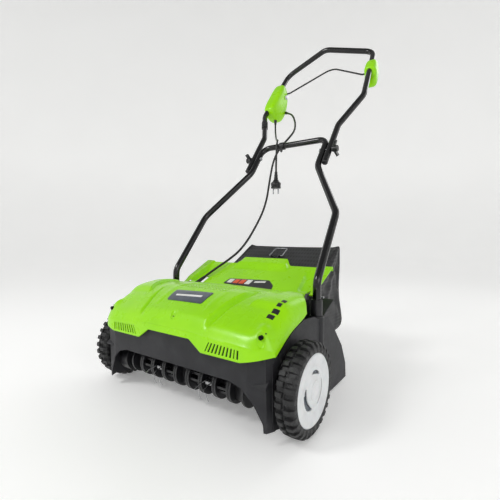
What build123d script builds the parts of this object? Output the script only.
from build123d import *
from math import atan2, degrees, hypot, pi, radians, tan
import os

# Walk-behind lawn dethatcher. Millimetres, +Z up, +Y to the rear, +X to the
# side that a person facing its front sees on their right. Everything is drawn with y = 0 over the
# main axle, then moved so that the origin lies on the ground under the middle of the machine.

# Width
SIDE_X = 240.0  # outer face of the side walls

# Wheels
WHEEL_R = 90.0
TYRE_W = 40.0
WHEEL_OUT = SIDE_X + 51.0  # outer face of each hub from the middle plane
RIM_R = 69.0
AXLE_D = 10.0
REAR_WHEEL_R = 30.0
REAR_WHEEL_W = 24.0
REAR_AXLE_D = 8.0
RUN = 0.05  # radial running clearance

# Chassis
WALL = 3.5
FRONT_Y = -88.0
FRONT_LEAN = 6.0
DECK_R = 62.0  # inside radius of the tunnel over the reel
SOCKET_X = SIDE_X - 12.0
SOCKET_R = 17.0
SOCKET_TOP = 196.0
FERRULE_R = 13.0

# Reel
REEL_Y = -32.0
REEL_Z = 70.0
REEL_HALF = 170.0
REEL_SHAFT_D = 14.0
SEGMENT_R = 33.0
TINE_R = 51.0
TINE_D = 2.6
STATIONS = 9
REEL_PULLEY_R = 27.0
MOTOR_PULLEY_R = 11.0
MOTOR_Y = 30.0
MOTOR_Z = 182.0
MOTOR_R = 40.0
BELT_X = -200.0
BELT_W = 9.0
BELT_T = 3.0

CARRIAGE = (150.0, 60.0)  # pivot of the rear wheel carriage, y and z
REAR_AXLE_Y = 232.0
REAR_WHEEL_X = 200.0

# Hood and rear flap
HOOD_X = SIDE_X + 6.0
HOOD_WALL = 3.0
HOOD_ROUND = 20.0
HOOD_REAR = 152.0
FLAP_X = 214.0
FLAP_T = 3.0
FLAP_PIN = (158.0, 238.0)
FLAP_LIP = (262.0, 294.0)
HANGER_X = 195.0

# Handles
TUBE_D = 19.0
TUBE_WALL = 1.5
LEAN = (0.6, 0.8)  # direction up the handle plane in y and z
BASE = (136.0, 277.0)  # y and z where the handle plane starts above the sockets
CROSS_S = 506.0  # distance up the handle plane
LOWER_TOP_X = 118.0
CLAMP_S = 455.0
CLAMP_GAP = 0.6
KNOB_D = 38.0
KNOB_T = 17.0
BOLT_D = 6.0
TOP_S = 962.0
TOP_X = 174.0
FLARE_X = 190.0
BAIL_D = 6.0
BAIL_PIVOT = (673.0, 957.0)
BAIL_X = 158.0

HOOK_X = (-50.0, -34.0)
BAIL_END = -172.0
HOUSING_CHAMFER = 7.0
BOX_OUTLINE = [
    (884, 8), (868, 17), (800, 19), (748, 17), (727, 8), (722, -16), (730, -46), (752, -66),
    (790, -68), (836, -56), (872, -34), (886, -10),
]
CAP_OUTLINE = [
    (893, 6), (880, 14), (850, 14), (840, 10), (829, -10), (813, -20), (807, -34), (814, -47),
    (832, -51), (862, -42), (886, -24), (895, -6),
]
BOX_X = (-209.0, -153.0)
BOX_SPLIT = -182.0
CAP_X = (161.0, 203.0)
BUTTON_AT = (838, -20)
BUTTON_R = 8.0
BUTTON_TRAVEL = 5.0

# Bag
BAG_HANDLE_PIVOT = (352.0, 318.5)
BAG_HANDLE_X = -12.0
BAG_X = 168.0
BAG_WALL = 4.0
BAG_FRONT = 217.0
FRAME_WIRE = 5.0

# Small fixings
PIVOT_D = 12.0
BEARING_R = 13.0
BULKHEAD_X = -176.0
MOTOR_X = (-150.0, 0.0)
LUGS = 24
SCREW_Y = -84.0
SCREWS = ((-222.0, 197.0), (0.0, 203.0), (222.0, 197.0))  # x and z

# Cords
MOTOR_CABLE_D = 7.0
PIGTAIL_D = 6.5
PLUG_AT = (-57.0, 424.0)
PLUG_TOP = 596.0  # where the lead enters
PLUG_R = 17.0
PIN_R = 2.4
PIN_SHANK_R = 2.0
PIN_LONG = 19.0
PIN_ROOT = 6.0
PIN_SPACING = 19.0
REAR_WALL_Y = 141.5
GLAND_X = -160.0
GLAND_R = 6.0
BOOT_LONG = 18.0
MOTOR_CABLE = [
    (-141, 647, 869), (-120, 630, 858), (-98, 608, 842), (-75, 581, 817), (-53, 550, 784),
    (-38, 515, 750), (-40, 480, 718), (-52, 458, 692), (-70, 449, 664), (-83, 446, 632),
    (-88, 440, 592), (-88, 428, 548), (-84, 410, 504), (-84, 386, 458), (-92, 358, 412),
    (-101, 328, 368), (-112, 296, 332), (-122, 262, 309), (-130, 228, 291), (-139, 195, 273),
    (-147, 172, 258),
]
PIGTAIL = [
    (-170, 603, 817), (-167, 598, 794), (-157, 584, 772), (-138, 556, 750), (-114, 520, 729),
    (-92, 490, 721), (-76, 465, 712), (-64, 443, 704), (-56, 427, 690), (-54, 421, 672),
    (-55, 422, 647), (-57, 424, 621), (-57, 424, 596),
]


def on_lean(s, n=0.0):
    """y and z of a point a distance s up the handle plane and n in front of it."""
    return BASE[0] + LEAN[0] * s - LEAN[1] * n, BASE[1] + LEAN[1] * s + LEAN[0] * n


def rod_x(radius, x0, x1, y, z):
    """A round bar along X."""
    return Pos((x0 + x1) / 2, y, z) * Rot(0, 90, 0) * Cylinder(radius, abs(x1 - x0))


def slab_x(points, x0, x1):
    """A plate of the given y, z outline, from x0 to x1."""
    face = make_face(Plane.YZ * Polyline(*points, close=True))
    return Pos(x0, 0, 0) * extrude(face, x1 - x0, dir=(1, 0, 0))


def slab_y(points, y0, y1):
    """A plate of the given x, z outline, from y0 to y1."""
    face = make_face(Plane.XZ * Polyline(*points, close=True))
    return Pos(0, y0, 0) * extrude(face, y1 - y0, dir=(0, 1, 0))


def slab_z(points, z0, z1):
    """A plate of the given x, y outline, from z0 to z1."""
    face = make_face(Plane.XY * Polyline(*points, close=True))
    return Pos(0, 0, z0) * extrude(face, z1 - z0, dir=(0, 0, 1))


def tube(points, radii, diameter, wall=0.0):
    """A round bar or tube along straight runs with rounded corners."""
    path = FilletPolyline(*points, radius=radii)
    section = Circle(diameter / 2)
    if wall:
        section -= Circle(diameter / 2 - wall)
    start = Plane(origin=path @ 0, z_dir=path % 0)
    return sweep(start * section, path=path)


def mirror_x(shape):
    return mirror(shape, about=Plane.YZ)


def both(shape):
    """The shape and its mirror image across the middle plane."""
    return Compound(children=[*shape.solids(), *mirror_x(shape).solids()])


# ---------------------------------------------------------------- chassis


def side_outline():
    """Side wall and rear fin, in y and z."""
    return [
        (FRONT_Y + 20, 28), (-50, 22), (60, 14), (203, 8), (296, 12), (292, 50),
        (264, 102), (222, 146), (172, SOCKET_TOP - 4), (152, SOCKET_TOP - 1), (120, SOCKET_TOP - 1),
        (100, 204), (46, 206), (6, 194),
        (-36, 172), (-64, 148), (FRONT_Y + 15, 148),
    ]


def front_plan(inset):
    """Front of the housing seen from above, in x and y."""
    half = SIDE_X - inset
    right = [(half - 42, FRONT_Y + inset), (half - 7, FRONT_Y + 9), (half, FRONT_Y + 24), (half, -50)]
    return [(-x, y) for x, y in reversed(right)] + right


def front_wall():
    """The wall round the front, leaning forwards to its top, with the reel opening cut away."""
    outline = front_plan(0) + front_plan(WALL)[::-1]
    low = Pos(0, 0, 24) * make_face(Polyline(*outline, close=True))
    high = Pos(0, -FRONT_LEAN, 170) * make_face(Polyline(*outline, close=True))
    opening = [(229, 0), (226, 40), (206, 78), (184, 98), (156, 106)]
    opening = opening + [(-x, z) for x, z in reversed(opening)]
    return loft([low, high]) - slab_y(opening, FRONT_Y - 40, FRONT_Y + 14)


def chassis_shell():
    inner = SIDE_X - WALL
    side = slab_x(side_outline(), inner, SIDE_X)
    shell = front_wall() + side + mirror_x(side)
    tunnel = rod_x(DECK_R + WALL, BULKHEAD_X, inner, REEL_Y, REEL_Z)
    tunnel -= rod_x(DECK_R, BULKHEAD_X - 1, inner + 1, REEL_Y, REEL_Z)
    tunnel &= Pos(0, REEL_Y - 60, REEL_Z + 136) * Box(3 * inner, 204, 200)
    apron = slab_x([(FRONT_Y - 1, 106), (FRONT_Y - 1, 110), (-76, 122), (-76, 106)], -inner, inner)
    floor = slab_x([(24, 92), (212, 116), (212, 119.5), (24, 95.5)], BULKHEAD_X, inner)
    ceiling = slab_x([(8, 120.5), (8, 124), (214, 226), (214, 222.5)], BULKHEAD_X, inner)
    bulkhead = slab_x([(24, 92), (212, 116), (214, 226), (8, 124)], BULKHEAD_X, BULKHEAD_X + WALL)
    rear_wall = Pos(0, REAR_WALL_Y, 208) * Box(2 * inner - 56, WALL, 48)
    rear_wall += Pos(GLAND_X, REAR_WALL_Y, 235) * Box(26, WALL, 16)
    shell += apron + tunnel + floor + ceiling + bulkhead + rear_wall
    for x, z in SCREWS:
        shell += Pos(x, SCREW_Y + 14, z - 16) * Box(12, 12, 46)
        shell += Pos(x, SCREW_Y + 6.5, z - 36) * Box(12, 27, 9)
    boss = Pos(SOCKET_X, BASE[0], SOCKET_TOP - 55) * Cylinder(SOCKET_R, 110)
    boss += Pos(SOCKET_X + 8, BASE[0], SOCKET_TOP - 60) * Box(12, 10, 100)
    bore = Pos(SOCKET_X, BASE[0], SOCKET_TOP - 40) * Cylinder(TUBE_D / 2, 82)
    hub = rod_x(14, SIDE_X - 22, SIDE_X, 0, WHEEL_R)
    shell += boss + mirror_x(boss) + hub + mirror_x(hub)
    holes = bore + rod_x(AXLE_D / 2, SIDE_X - 22, SIDE_X + 5, 0, WHEEL_R)
    holes += rod_x(PIVOT_D / 2 + RUN, inner - 5, SIDE_X + 5, *CARRIAGE)
    holes += rod_x(BEARING_R, inner - 30, SIDE_X + 5, REEL_Y, REEL_Z)
    shell -= holes + mirror_x(holes)
    shell -= rod_x(MOTOR_R + 3, MOTOR_X[0] - 3, MOTOR_X[1] + 3, MOTOR_Y, MOTOR_Z)
    for x, z in SCREWS:
        shell -= Pos(x, SCREW_Y + 12, z) * Rot(90, 0, 0) * Cylinder(2, 24)
    return shell - cable_gland()


def main_axles():
    axle = rod_x(AXLE_D / 2, SIDE_X - 22, WHEEL_OUT - 6, 0, WHEEL_R)
    axle += rod_x(AXLE_D / 2 + 4, SIDE_X - 24, SIDE_X - 22, 0, WHEEL_R)
    return both(axle)


# ---------------------------------------------------------------- wheels


def tyre():
    """Lugged tyre of the wheel on the +X side."""
    middle = WHEEL_OUT - 2 - TYRE_W / 2
    ring = rod_x(WHEEL_R - 3, middle - TYRE_W / 2, middle + TYRE_W / 2, 0, WHEEL_R)
    ring = fillet(ring.edges().filter_by(GeomType.CIRCLE), 6)
    lugs = rod_x(WHEEL_R, middle - TYRE_W / 2 + 3, middle + TYRE_W / 2 - 3, 0, WHEEL_R)
    lugs -= rod_x(WHEEL_R - 4, middle - TYRE_W, middle + TYRE_W, 0, WHEEL_R)
    for k in range(LUGS):
        turn = Pos(0, 0, WHEEL_R) * Rot(360 / LUGS * k, 0, 0)
        lugs -= turn * Pos(middle + TYRE_W / 4, WHEEL_R, 0) * Box(TYRE_W / 2, 12, 4)
        lugs -= turn * Rot(180 / LUGS, 0, 0) * Pos(middle - TYRE_W / 4, WHEEL_R, 0) * Box(
            TYRE_W / 2, 12, 4)
    return ring + lugs - rod_x(RIM_R, middle - TYRE_W, middle + TYRE_W, 0, WHEEL_R)


def rim():
    """Moulded disc wheel with its hub and an inner drum."""
    face = rod_x(RIM_R, WHEEL_OUT - 9, WHEEL_OUT - 3, 0, WHEEL_R)
    drum = rod_x(RIM_R, WHEEL_OUT - TYRE_W, WHEEL_OUT - 5, 0, WHEEL_R)
    drum -= rod_x(RIM_R - 4, WHEEL_OUT - TYRE_W - 1, WHEEL_OUT - 9, 0, WHEEL_R)
    hub = rod_x(16, SIDE_X + 3, WHEEL_OUT - 4, 0, WHEEL_R)
    solid = face + drum + hub
    for k in range(3):
        slot = Pos(WHEEL_OUT - 6, 0, 0) * Rot(0, 90, 0) * SlotArc(
            CenterArc((0, 0), 33, 120 * k + 30, 60), 8)
        solid -= Pos(0, 0, WHEEL_R) * Pos(-10, 0, 0) * extrude(slot, 24, dir=(1, 0, 0))
    solid -= rod_x(AXLE_D / 2 + RUN, SIDE_X, WHEEL_OUT - 5, 0, WHEEL_R)
    return solid - rod_x(20, WHEEL_OUT - 5, WHEEL_OUT, 0, WHEEL_R)


def hub_cap():
    cap = rod_x(20, WHEEL_OUT - 5, WHEEL_OUT + 2, 0, WHEEL_R)
    cap = fillet(cap.edges().filter_by(GeomType.CIRCLE).sort_by(Axis.X)[-1], 3)
    return cap


def rear_wheel():
    """Small wheel on the +X side of the carriage."""
    half = REAR_WHEEL_W / 2
    disc = rod_x(REAR_WHEEL_R, REAR_WHEEL_X - half, REAR_WHEEL_X + half, REAR_AXLE_Y, REAR_WHEEL_R)
    disc = fillet(disc.edges().filter_by(GeomType.CIRCLE), 4)
    for x in (REAR_WHEEL_X - half, REAR_WHEEL_X + half):
        ring = rod_x(21, x - 3, x + 3, REAR_AXLE_Y, REAR_WHEEL_R)
        disc -= ring - rod_x(8, x - 4, x + 4, REAR_AXLE_Y, REAR_WHEEL_R)
    return disc - rod_x(REAR_AXLE_D / 2 + RUN, REAR_WHEEL_X - 30, REAR_WHEEL_X + 30,
                        REAR_AXLE_Y, REAR_WHEEL_R)


def carriage():
    """Cross shaft with two arms to the rear axle."""
    out = SIDE_X + 12
    solid = rod_x(PIVOT_D / 2, -out, SIDE_X + 4, *CARRIAGE)
    solid += rod_x(REAR_AXLE_D / 2, -REAR_WHEEL_X - 16, REAR_WHEEL_X + 16, REAR_AXLE_Y, REAR_WHEEL_R)
    run, drop = REAR_AXLE_Y - CARRIAGE[0], CARRIAGE[1] - REAR_WHEEL_R
    arm = Pos(REAR_WHEEL_X - 20, CARRIAGE[0] + run / 2, CARRIAGE[1] - drop / 2)
    arm *= Rot(-degrees(atan2(drop, run)), 0, 0)
    arm = arm * Box(5, hypot(run, drop), 16)
    for y, z in (CARRIAGE, (REAR_AXLE_Y, REAR_WHEEL_R)):
        arm += rod_x(8, REAR_WHEEL_X - 22.5, REAR_WHEEL_X - 17.5, y, z)
    return solid + arm + mirror_x(arm)


def depth_lever():
    """Hand lever on the left end of the carriage shaft."""
    x0, x1 = -SIDE_X - 12, -SIDE_X - 7
    lever = slab_x([(143, 52), (157, 52), (172, 150), (186, 186), (176, 190), (160, 152)], x0, x1)
    return lever - rod_x(PIVOT_D / 2, x0 - 1, x1 + 1, *CARRIAGE)


def lever_grip():
    x0, x1 = -SIDE_X - 16, -SIDE_X - 3
    grip = slab_x([(170, 178), (188, 172), (204, 204), (188, 212)], x0, x1)
    grip = fillet(grip.edges().filter_by(Axis.X), 6)
    return grip - slab_x([(143, 52), (157, 52), (172, 150), (186, 186), (176, 190), (160, 152)],
                         -SIDE_X - 12, -SIDE_X - 7)


# ---------------------------------------------------------------- reel and drive


def reel_shaft():
    return rod_x(REEL_SHAFT_D / 2, -SIDE_X + 6, SIDE_X - 6, REEL_Y, REEL_Z)


def bearings():
    ring = rod_x(BEARING_R, SIDE_X - 18, SIDE_X - 4, REEL_Y, REEL_Z)
    return both(ring - rod_x(REEL_SHAFT_D / 2 + RUN, SIDE_X - 30, SIDE_X, REEL_Y, REEL_Z))


def station_x(k):
    return -REEL_HALF + (k + 0.5) * 2 * REEL_HALF / STATIONS


def tine_angle(k):
    """Tines at each station stand a quarter turn on from the one before."""
    return -90 * k + 270


def reel_segments():
    """Moulded drum of open cells, two flanges and cross webs to a station."""
    pitch = 2 * REEL_HALF / STATIONS
    drum = rod_x(13, -REEL_HALF, REEL_HALF, REEL_Y, REEL_Z)
    for k in range(STATIONS):
        x = station_x(k)
        for side in (-1, 1):
            mid = x + side * (pitch / 2 - 3)
            drum += rod_x(SEGMENT_R, mid - 2.5, mid + 2.5, REEL_Y, REEL_Z)
        turn = Pos(x, REEL_Y, REEL_Z) * Rot(tine_angle(k), 0, 0)
        drum += turn * Pos(0, 0, 0) * Box(pitch, 2 * SEGMENT_R - 8, 5)
        drum += turn * Pos(0, 0, -11) * Box(pitch - 2, 44, 5)
    drum -= rod_x(REEL_SHAFT_D / 2, -REEL_HALF - 1, REEL_HALF + 1, REEL_Y, REEL_Z)
    for k in range(STATIONS):
        turn = Pos(station_x(k), REEL_Y, REEL_Z) * Rot(tine_angle(k), 0, 0)
        drum -= turn * Pos(0, 0, 21) * Rot(0, 90, 0) * Cylinder(5.5, pitch - 12)
    return drum


def spring_tines():
    """A double spring tine at each station: a coil across the drum and two legs."""
    solids = []
    for k in range(STATIONS):
        turn = Pos(station_x(k), REEL_Y, REEL_Z) * Rot(tine_angle(k), 0, 0)
        coil = Rot(0, 90, 0) * (Cylinder(5.2, 22) - Cylinder(5.2 - TINE_D, 24))
        solids.append(turn * Pos(0, 0, 21) * coil)
        for side in (-1, 1):
            points = [(side * 9, 3.9, 20), (side * 10, 3.9, 34), (side * 11, -2, TINE_R)]
            solids[-1] += turn * tube(points, 10, TINE_D)
    return Compound(children=[s for shape in solids for s in shape.solids()])


def belt_line(inset):
    """Outline of the belt's run round both pulleys, in y and z."""
    reel_r, motor_r = REEL_PULLEY_R + inset, MOTOR_PULLEY_R + inset
    return make_hull((Pos(REEL_Y, REEL_Z) * Circle(reel_r) + Pos(MOTOR_Y, MOTOR_Z) * Circle(motor_r))
                     .edges())


def belt_slab(inset, x0, x1):
    return Pos(x0, 0, 0) * extrude(Plane.YZ * belt_line(inset), x1 - x0, dir=(1, 0, 0))


def drive_belt():
    x0, x1 = BELT_X - BELT_W / 2, BELT_X + BELT_W / 2
    return belt_slab(0.3 + BELT_T, x0, x1) - belt_slab(0.3, x0 - 1, x1 + 1)


def pulley(radius, bore, y, z):
    half = BELT_W / 2 + 0.5
    wheel = rod_x(radius, BELT_X - half, BELT_X + half, y, z)
    for x in (BELT_X - half - 1, BELT_X + half + 1):
        wheel += rod_x(radius + 4, x - 1, x + 1, y, z)
    return wheel - rod_x(bore, BELT_X - 20, BELT_X + 20, y, z)


def belt_guard():
    """Cover round the belt, standing between the reel and the left side wall."""
    guard = belt_slab(9, BELT_X - 15, BELT_X + 15) - belt_slab(7, BELT_X - 13, BELT_X + 13)
    guard -= rod_x(REEL_SHAFT_D / 2 + 2, BELT_X - 30, BELT_X + 30, REEL_Y, REEL_Z)
    return guard - rod_x(8, BELT_X - 30, BELT_X + 30, MOTOR_Y, MOTOR_Z)


def motor_case():
    x0, x1 = MOTOR_X
    case = rod_x(MOTOR_R, x0, x1, MOTOR_Y, MOTOR_Z)
    case = fillet(case.edges().filter_by(GeomType.CIRCLE), 5)
    case -= rod_x(MOTOR_R - 4, x0 + 5, x1 - 5, MOTOR_Y, MOTOR_Z)
    for k in range(8):
        turn = Pos(x1 - 14, MOTOR_Y, MOTOR_Z) * Rot(45 * k, 0, 0)
        case -= turn * Pos(0, 0, MOTOR_R) * Box(12, 8, 16)
    return case - rod_x(6 + RUN, x0 - 1, x0 + 6, MOTOR_Y, MOTOR_Z)


def motor_cradle():
    """Two saddles that carry the motor on the housing's deck."""
    feet = []
    for x in (MOTOR_X[0] + 25, MOTOR_X[1] - 25):
        foot = slab_x([(8, 125), (60, 151), (60, 166), (8, 166)], x - 5, x + 5)
        feet.append(foot - rod_x(MOTOR_R, x - 6, x + 6, MOTOR_Y, MOTOR_Z))
    return Compound(children=[s for f in feet for s in f.solids()])


def rotor():
    """Motor shaft with its armature and fan."""
    shaft = rod_x(6, BELT_X - 8, MOTOR_X[1] - 8, MOTOR_Y, MOTOR_Z)
    shaft += rod_x(24, MOTOR_X[0] + 20, MOTOR_X[1] - 40, MOTOR_Y, MOTOR_Z)
    for k in range(9):
        turn = Pos(MOTOR_X[1] - 20, MOTOR_Y, MOTOR_Z) * Rot(40 * k, 0, 0)
        shaft += turn * Pos(0, 0, 17) * Box(14, 2, 28)
    return shaft


# ---------------------------------------------------------------- hood and flap


def hood_side(inset):
    """Closed side profile of the hood in y and z, drawn in from the outer skin by inset."""
    crown = [(-100, 186), (-87, 205), (-38, 236), (12, 252), (60, 257), (105, 254)]
    crown = [(y + inset * 0.8 * (y < 0), z - inset) for y, z in crown] + [(HOOD_REAR, 246 - inset)]
    front = [(HOOD_REAR, 140), (-101 + inset, 140), (-103 + inset, 172), crown[0]]
    edges = Polyline(*front) + Spline(*crown) + Line(crown[-1], front[0])
    return make_face(Plane.YZ * edges)


def hood_block(inset):
    half = HOOD_X - inset
    block = Pos(-half, 0, 0) * extrude(hood_side(inset), 2 * half, dir=(1, 0, 0))
    rims = [e for e in block.edges() if abs(abs(e.center().X) - half) < 0.1 and e.center().Z > 200
            and e.center().Y < HOOD_REAR - 1]
    return fillet(rims, HOOD_ROUND - inset)


def hood():
    shell = hood_block(0) - hood_block(HOOD_WALL)
    shell -= Pos(0, HOOD_REAR, 150) * Box(3 * HOOD_X, 2 * HOOD_WALL, 190)
    shell -= Pos(0, 60, 135) * Box(3 * HOOD_X, 500, 22)
    hem = [(0, 172), (70, 172), (96, 150), (189, 150), (HOOD_X + 1, 164), (HOOD_X + 10, 166)]
    front = [(x, z) for x, z in hem[1:]] + [(HOOD_X + 10, 90)]
    front = [(-x, z) for x, z in reversed(front)] + front
    shell -= slab_y(front, -130, -70)
    arch = [(-72, 100), (-72, 164), (-45, 181), (-19, 195), (5, 205), (45, 217), (170, 217),
            (170, 100)]
    shell -= slab_x(arch, -HOOD_X - 5, HOOD_X + 5)
    shell -= slab_x([(60, 150), (60, 238), (170, 238), (170, 150)], -HOOD_X - 5, HOOD_X + 5)
    corner = slab_z([(HOOD_X + 1, 48), (150, HOOD_REAR), (150, 200), (HOOD_X + 60, 200),
                     (HOOD_X + 60, 48)], 100, 300)
    shell -= corner + mirror_x(corner)
    shell -= Pos(GLAND_X + 5, HOOD_REAR - 6, 240) * Box(20, 20, 40)
    louvre = Pos(0, -100, 166) * Box(4, 24, 18)
    for k in range(10):
        slot = Pos(110 + 8 * k, 0, 0) * louvre
        shell -= slot + mirror_x(slot)
    for x, z in SCREWS:
        shell -= Pos(x, SCREW_Y - 6, z) * Rot(90, 0, 0) * Cylinder(4.6, 24)
    return shell


def hood_screws():
    solids = []
    for x, z in SCREWS:
        screw = Pos(x, SCREW_Y + 0.5, z) * Rot(90, 0, 0) * Cylinder(4.3, 5)
        screw += Pos(x, SCREW_Y + 12, z) * Rot(90, 0, 0) * Cylinder(2, 20)
        screw -= Pos(x, SCREW_Y - 2, z) * Box(6, 2, 1.4)
        solids += screw.solids()
    return Compound(children=solids)


def badge_plate():
    """Blank name plate that follows the crown of the hood."""
    skin = hood_block(-1.2) - hood_block(-0.05)
    outline = slab_z([(-62, -45), (-45, -10), (62, -10), (46, -45)], 200, 290)
    return skin & outline


def flap_point(y, n=0.0):
    """Height of the flap's skin above a place y."""
    (y0, z0), (y1, z1) = FLAP_PIN, FLAP_LIP
    return z0 + 4 + (z1 - z0 - 4) * (y - y0) / (y1 - y0) + n


def rear_flap():
    """Sloping rear cover with side rails, a raised middle and knuckles on its pin."""
    y0, y1 = FLAP_PIN[0] - 5, FLAP_LIP[0]
    t = FLAP_T
    skin = slab_x([(y0, flap_point(y0)), (y1, flap_point(y1)), (y1, flap_point(y1, -t)),
                   (y0, flap_point(y0, -t))], -FLAP_X, FLAP_X)
    middle = slab_x([(y0 + 60, flap_point(y0 + 60, -1)), (y1 - 16, flap_point(y1 - 16, 12)),
                     (y1 + 12, flap_point(y1 + 12, 10)), (y1 + 12, flap_point(y1 + 12, 6)),
                     (y1, flap_point(y1, -1))], -92, 92)
    rail = slab_x([(y0, flap_point(y0, -1)), (y0 + 16, flap_point(y0 + 16, 7)),
                   (y1 - 6, flap_point(y1 - 6, 7)), (y1, flap_point(y1, -1))], FLAP_X - 14, FLAP_X)
    lip = slab_x([(y1 - t, flap_point(y1)), (y1, flap_point(y1)), (y1, flap_point(y1, -12)),
                  (y1 - t, flap_point(y1, -12))], -FLAP_X, FLAP_X)
    flap = skin + middle + rail + mirror_x(rail) + lip
    flap -= Pos(GLAND_X + 8, y0, flap_point(y0)) * Box(26, 72, 40)
    for x in (-HANGER_X, HANGER_X):
        flap -= Pos(x, y0 + 4, flap_point(y0)) * Box(9, 22, 40)
    for x in (-176, -60, 60, 176):
        flap += rod_x(5.5, x - 14, x + 14, *FLAP_PIN)
        flap += Pos(x, FLAP_PIN[0] + 5, FLAP_PIN[1] + 2.5) * Box(28, 7, 4)
    return flap - rod_x(2.5 + RUN, -260, 260, *FLAP_PIN)


def flap_pin():
    return rod_x(2.5, -SIDE_X + WALL + 1, SIDE_X - WALL - 1, *FLAP_PIN)


def flap_hangers():
    """Lugs on the rear wall of the housing that hold the ends of the flap's pin."""
    y = REAR_WALL_Y + WALL / 2
    lug = slab_x([(y, 214), (y, 232), (y + 8, 243), (y + 17, 243), (y + 18.5, 236), (y + 14, 230)],
                 HANGER_X - 3, HANGER_X + 3)
    lug -= rod_x(2.5, 180, 260, *FLAP_PIN)
    return both(lug)


# ---------------------------------------------------------------- handles


def lower_handle():
    """Tube from socket to socket, bent in at the clamps and across under the grip."""
    right = [(SOCKET_X, BASE[0], SOCKET_TOP - 70), (SOCKET_X, *BASE), (222, *on_lean(204)),
             (LOWER_TOP_X, *on_lean(388)), (LOWER_TOP_X, *on_lean(CROSS_S))]
    points = right + [(-x, y, z) for x, y, z in reversed(right)]
    radii = [40, 60, 60, 30]
    handle = tube(points, radii + radii[::-1], TUBE_D, TUBE_WALL)
    return handle - bolt_hole()


def upper_handle():
    """Tube with legs outside the lower handle, flared out, and a top bar bowed forwards."""
    leg = LOWER_TOP_X + TUBE_D + CLAMP_GAP
    right = [(leg, *on_lean(400)), (leg, *on_lean(567)), (FLARE_X, *on_lean(702)),
             (TOP_X, *on_lean(TOP_S))]
    apex_y, apex_z = on_lean(TOP_S + 20, 49)
    points = right + [(0, apex_y, apex_z)] + [(-x, y, z) for x, y, z in reversed(right)]
    radii = [50, 55, 36]
    handle = tube(points, radii + [60] + radii[::-1], TUBE_D, TUBE_WALL)
    return handle - bolt_hole()


def bolt_hole():
    return rod_x(BOLT_D / 2 + RUN, -300, 300, *on_lean(CLAMP_S))


def clamp_bolts():
    inner, outer = LOWER_TOP_X - TUBE_D / 2, LOWER_TOP_X + 1.5 * TUBE_D + CLAMP_GAP + KNOB_T
    bolt = rod_x(BOLT_D / 2, inner, outer - 3, *on_lean(CLAMP_S))
    bolt += rod_x(6, inner - 3, inner, *on_lean(CLAMP_S))
    return both(bolt)


def clamp_knob():
    """Knob with two wings on the +X side."""
    x0 = LOWER_TOP_X + 1.5 * TUBE_D + CLAMP_GAP
    y, z = on_lean(CLAMP_S)
    knob = rod_x(9, x0 + 0.3, x0 + KNOB_T, y, z)
    for side in (-1, 1):
        wing = Pos(x0 + 0.6 * KNOB_T, y, z) * Rot(25, 0, 0) * Pos(0, 0, side * 13)
        wing = wing * Rot(0, side * 24, 0) * Box(5, 14, KNOB_D / 2 + 2)
        knob += wing
    knob &= rod_x(KNOB_D / 2 + 6, x0 + 0.3, x0 + KNOB_T + 8, y, z)
    return knob - rod_x(BOLT_D / 2 + RUN, x0 - 1, x0 + KNOB_T - 3, y, z)


def ferrules():
    """Split collars that close on the tube above each socket."""
    axis = Pos(SOCKET_X, BASE[0], SOCKET_TOP)
    collar = axis * Pos(0, 0, 20) * Cylinder(FERRULE_R, 39.9)
    collar += axis * Pos(0, FERRULE_R, 18) * Box(11, 12, 32)
    collar += axis * Pos(0, 0, 1.5) * Cylinder(SOCKET_R, 3)
    collar -= axis * Pos(0, 0, 20) * Cylinder(TUBE_D / 2, 60)
    collar -= axis * Pos(0, FERRULE_R, 22) * Box(2.5, 20, 36)
    return both(collar)


def leg_sleeve():
    """Soft sleeve on the flare of the left leg."""
    leg = LOWER_TOP_X + TUBE_D + CLAMP_GAP
    low, high = Vector(-leg, *on_lean(567)), Vector(-FLARE_X, *on_lean(702))
    way = (high - low).normalized()
    path = Line(low + way * 62, low + way * 102)
    ring = Circle(TUBE_D / 2 + 1.8) - Circle(TUBE_D / 2)
    return sweep(Plane(origin=path @ 0, z_dir=path % 0) * ring, path=path)


def lean_slab(points, x0, x1):
    """A plate whose outline is given up the handle plane and in front of it."""
    return slab_x([on_lean(s, n) for s, n in points], x0, x1)


def leg_bar(grow, back, on):
    """The straight upper legs of the handle as solid bars, swollen by grow."""
    low, high = Vector(FLARE_X, *on_lean(702)), Vector(TOP_X, *on_lean(TOP_S))
    way = (high - low).normalized()
    path = Line(low - way * back, high + way * on)
    section = Plane(origin=path @ 0, z_dir=path % 0) * Circle(TUBE_D / 2 + grow)
    bar = sweep(section, path=path)
    return bar + mirror_x(bar)


def housing(outline, x0, x1):
    """Hollow moulded housing of the given outline round an upper leg, still in one piece."""
    block = lean_slab(outline, x0, x1)
    rims = [e for e in block.edges() if min(abs(e.center().X - x0), abs(e.center().X - x1)) < 0.1]
    block = chamfer(rims, HOUSING_CHAMFER)
    mid_s = sum(s for s, n in outline) / len(outline)
    mid_n = sum(n for s, n in outline) / len(outline)
    inside = [(mid_s + 0.84 * (s - mid_s), mid_n + 0.78 * (n - mid_n)) for s, n in outline]
    hollow = lean_slab(inside, x0 + HOUSING_CHAMFER, x1 - HOUSING_CHAMFER) - leg_bar(3, 40, 0)
    return block - hollow - leg_bar(0, 10, 20)


def half_of(shape, x0, x1):
    return shape & Pos((x0 + x1) / 2, 700, 900) * Box(abs(x1 - x0), 500, 500)


def switch_box():
    box = housing(BOX_OUTLINE, *BOX_X)
    box -= rod_x(BAIL_D / 2 + RUN, BAIL_END, BOX_X[1] + 1, *BAIL_PIVOT)
    y, z = on_lean(*BUTTON_AT)
    return box - rod_x(BUTTON_R + 0.2, BOX_X[1] - 14, BOX_X[1] + 1, y, z) - box_boots()


def switch_box_outer():
    return half_of(switch_box(), BOX_X[0], BOX_SPLIT)


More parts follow.
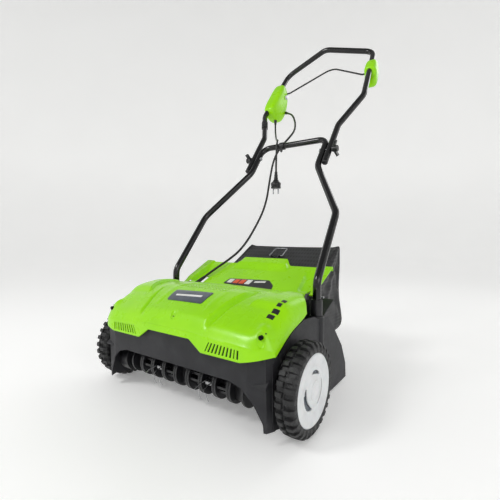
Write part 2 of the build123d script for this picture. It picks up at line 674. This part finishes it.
def switch_box_inner():
    return half_of(switch_box(), BOX_SPLIT, BOX_X[1])


def switch_block():
    """Switch inside the box, behind the button."""
    y, z = on_lean(790, -30)
    return Pos(-181, y, z) * Rot(-36.87, 0, 0) * Box(24, 22, 40)


def safety_button():
    y, z = on_lean(*BUTTON_AT)
    button = rod_x(BUTTON_R, BOX_X[1] - 8, BOX_X[1] + BUTTON_TRAVEL + 2, y, z)
    return fillet(button.edges().filter_by(GeomType.CIRCLE).sort_by(Axis.X)[-1], 2.5)


def pivot_cover():
    cap = housing(CAP_OUTLINE, *CAP_X)
    return cap - rod_x(BAIL_D / 2 + RUN, CAP_X[0] - 1, -BAIL_END, *BAIL_PIVOT)


def bail():
    """Bent rod pivoting in both housings, with the same bow as the top bar."""
    y, z = BAIL_PIVOT
    right = [(-BAIL_END - 1, y, z), (BAIL_X - 12, y, z)]
    points = right + [(0, y + 80, z + 91)] + [(-x, yy, zz) for x, yy, zz in reversed(right)]
    return tube(points, [14, 40, 14], BAIL_D)


def cord_hook():
    """Clip round the crossbar with a hook below it for the mains lead."""
    y, z = on_lean(CROSS_S)
    ring = rod_x(TUBE_D / 2 + 3, HOOK_X[0], HOOK_X[1], y, z)
    ring -= rod_x(TUBE_D / 2, HOOK_X[0] - 1, HOOK_X[1] + 1, y, z)
    hook = tube([(HOOK_X[1] - 4, y - 10, z - 6), (HOOK_X[1] - 2, y - 14, z - 22),
                 (HOOK_X[1] + 2, y - 30, z - 26), (HOOK_X[1] + 4, y - 32, z - 10)], [7, 7], 4)
    return ring + hook - rod_x(TUBE_D / 2, HOOK_X[0] - 1, HOOK_X[1] + 1, y, z)


# ---------------------------------------------------------------- cords


def route_radii(points):
    """Corner radii of a cord: 0.45 of the shorter run over the tangent of half the turn."""
    radii = []
    for a, b, c in zip(points, points[1:], points[2:]):
        before, after = Vector(*b) - Vector(*a), Vector(*c) - Vector(*b)
        turn = radians(before.get_angle(after))
        radii.append(0.45 * min(before.length, after.length) / tan(turn / 2))
    return radii


def cord(name, points, diameter):
    radii = route_radii(points)
    path = FilletPolyline(*points, radius=radii)
    solid = sweep(Plane(origin=path @ 0, z_dir=path % 0) * Circle(diameter / 2), path=path)
    print(name, "length", round(path.length), "radii", [round(r) for r in radii])
    print(name, "volume share", round(solid.volume / (pi * diameter**2 / 4 * path.length), 4))
    return solid


def boot(end, onward, long, thick, thin):
    """Tapered strain relief that a cord leaves face to face at its thin end."""
    way = (Vector(*onward) - Vector(*end)).normalized()
    cone = Cone(thick / 2, thin / 2, long, align=(Align.CENTER, Align.CENTER, Align.MAX))
    return Plane(origin=end, z_dir=way) * cone


def box_boots():
    """Strain reliefs where both cords leave the switch box."""
    first = boot(MOTOR_CABLE[0], MOTOR_CABLE[1], BOOT_LONG, 12, MOTOR_CABLE_D + 1)
    second = boot(PIGTAIL[0], PIGTAIL[1], BOOT_LONG, 12, PIGTAIL_D + 1)
    return Compound(children=[*first.solids(), *second.solids()])


def cable_gland():
    end, before = MOTOR_CABLE[-1], MOTOR_CABLE[-2]
    return boot(end, before, 38, 2 * GLAND_R, MOTOR_CABLE_D + 1)


def plug_body():
    """Round plug with a grip and a flared strain relief, face down."""
    x, y = PLUG_AT
    low = PLUG_TOP - 56
    body = Pos(x, y, low + 10) * Cylinder(PLUG_R, 20)
    body = chamfer(body.edges().filter_by(GeomType.CIRCLE), 1.5)
    for k in range(6):
        turn = Pos(x, y, low + 10) * Rot(0, 0, 60 * k)
        body -= turn * Pos(PLUG_R, 0, 0) * Box(3, 5, 14)
    body += Pos(x, y, low + 20) * Cone(11, 8, 8, align=(Align.CENTER, Align.CENTER, Align.MIN))
    body += Pos(x, y, low + 28) * Cone(7.5, 4.6, 28, align=(Align.CENTER, Align.CENTER, Align.MIN))
    for side in (-1, 1):
        body -= Pos(x + side * PIN_SPACING / 2, y, low) * Cylinder(PIN_SHANK_R, 2 * PIN_ROOT)
    return body


def plug_pins():
    x, y = PLUG_AT
    low = PLUG_TOP - 56
    pins = []
    for side in (-1, 1):
        seat = Pos(x + side * PIN_SPACING / 2, y, low)
        pin = seat * Pos(0, 0, -PIN_LONG / 2) * Cylinder(PIN_R, PIN_LONG)
        pin = fillet(pin.edges().filter_by(GeomType.CIRCLE).sort_by(Axis.Z)[0], 1.5)
        pin += seat * Cylinder(PIN_SHANK_R, 2 * PIN_ROOT)
        pins.append(pin.solid())
    return Compound(children=pins)


# ---------------------------------------------------------------- bag


def grass_bag():
    """Fabric bag, plain and thick walled, open at its mouth."""
    outline = [
        (BAG_FRONT, 126), (BAG_FRONT, 240), (244, 259), (328, 300), (438, 359), (452, 350),
        (452, 200), (486, 122), (468, 98), (411, 88), (300, 92),
    ]
    bag = slab_x(outline, -BAG_X, BAG_X)
    room = [(y + (BAG_WALL if y < 250 else -BAG_WALL), z + (-BAG_WALL if z > 150 else BAG_WALL))
            for y, z in outline[2:]]
    room = [(BAG_FRONT - 1, 131), (BAG_FRONT - 1, 234)] + room
    return bag - slab_x(room, BAG_WALL - BAG_X, BAG_X - BAG_WALL)


def bag_frame():
    """Wire round the bag's mouth with two hooks that hang on the flap's pin."""
    y = BAG_FRONT - FRAME_WIRE / 2 - 0.3
    corners = [(0, y, 128), (150, y, 128), (158, y, 214), (0, y, 214)]
    points = corners + [(-158, y, 214), (-150, y, 128), (0, y, 128)]
    loop = FilletPolyline(*[p for p in points[:-1] if p[0]], radius=14, close=True)
    section = Plane(origin=loop @ 0, z_dir=loop % 0) * Circle(FRAME_WIRE / 2)
    return sweep(section, path=loop)


def bag_handle():
    """Wire carry handle lying on the bag's sloping top."""
    y, z = BAG_HANDLE_PIVOT
    right = [(10, y, z), (23, y, z), (21, y + 38, z + 22)]
    points = right + [(-x, yy, zz) for x, yy, zz in reversed(right)]
    return Pos(BAG_HANDLE_X, 0, 0) * tube(points, [4, 6, 6, 4], 3.6)


def bag_handle_clips():
    """Two small loops sewn to the bag that hold the handle's ends."""
    y, z = BAG_HANDLE_PIVOT
    clips = []
    for x in (BAG_HANDLE_X - 14, BAG_HANDLE_X + 14):
        clip = rod_x(4.5, x - 3, x + 3, y, z) - rod_x(1.8 + RUN, x - 4, x + 4, y, z)
        clips += clip.solids()
    return Compound(children=clips)


# ---------------------------------------------------------------- export


def build_all():
    """Every node by name, with y = 0 over the main axle."""
    tyre_right, rim_right, cap_right = tyre(), rim(), hub_cap()
    rear = rear_wheel()
    knob = clamp_knob()
    return {
        "chassis_shell": chassis_shell(),
        "main_axles": main_axles(),
        "tyre_right": tyre_right,
        "tyre_left": mirror_x(tyre_right),
        "rim_right": rim_right,
        "rim_left": mirror_x(rim_right),
        "hub_cap_right": cap_right,
        "hub_cap_left": mirror_x(cap_right),
        "rear_wheel_right": rear,
        "rear_wheel_left": mirror_x(rear),
        "wheel_carriage": carriage(),
        "depth_lever": depth_lever(),
        "lever_grip": lever_grip(),
        "reel_shaft": reel_shaft(),
        "reel_bearings": bearings(),
        "reel_segments": reel_segments(),
        "spring_tines": spring_tines(),
        "reel_pulley": pulley(REEL_PULLEY_R, REEL_SHAFT_D / 2, REEL_Y, REEL_Z),
        "motor_pulley": pulley(MOTOR_PULLEY_R, 6, MOTOR_Y, MOTOR_Z),
        "drive_belt": drive_belt(),
        "belt_guard": belt_guard(),
        "motor_case": motor_case(),
        "motor_cradle": motor_cradle(),
        "motor_rotor": rotor(),
        "hood": hood(),
        "hood_screws": hood_screws(),
        "badge_plate": badge_plate(),
        "rear_flap": rear_flap(),
        "flap_pin": flap_pin(),
        "flap_hangers": flap_hangers(),
        "lower_handle": lower_handle(),
        "upper_handle": upper_handle(),
        "clamp_bolts": clamp_bolts(),
        "clamp_knob_right": knob,
        "clamp_knob_left": mirror_x(knob),
        "socket_ferrules": ferrules(),
        "leg_sleeve": leg_sleeve(),
        "switch_box_outer": switch_box_outer(),
        "switch_box_inner": switch_box_inner(),
        "switch_block": switch_block(),
        "safety_button": safety_button(),
        "pivot_cover": pivot_cover(),
        "bail": bail(),
        "cord_hook": cord_hook(),
        "motor_cable": cord("motor_cable", MOTOR_CABLE, MOTOR_CABLE_D),
        "mains_lead": cord("mains_lead", PIGTAIL, PIGTAIL_D),
        "box_boots": box_boots(),
        "cable_gland": cable_gland(),
        "plug_body": plug_body(),
        "plug_pins": plug_pins(),
        "grass_bag": grass_bag(),
        "bag_frame": bag_frame(),
        "bag_handle": bag_handle(),
        "bag_handle_clips": bag_handle_clips(),
    }


ON_CORDS = ("motor_cable", "mains_lead", "plug_body", "plug_pins")


def main():
    os.makedirs("parts", exist_ok=True)
    nodes = build_all()
    boxes = [shape.bounding_box() for name, shape in nodes.items() if name not in ON_CORDS]
    middle = (min(b.min.Y for b in boxes) + max(b.max.Y for b in boxes)) / 2
    print("main axle at y", round(-middle, 4))
    for name, shape in nodes.items():
        moved = Pos(0, -middle, 0) * Compound(children=shape.solids())
        moved.label = name
        export_step(moved, f"parts/{name}.step")


main()
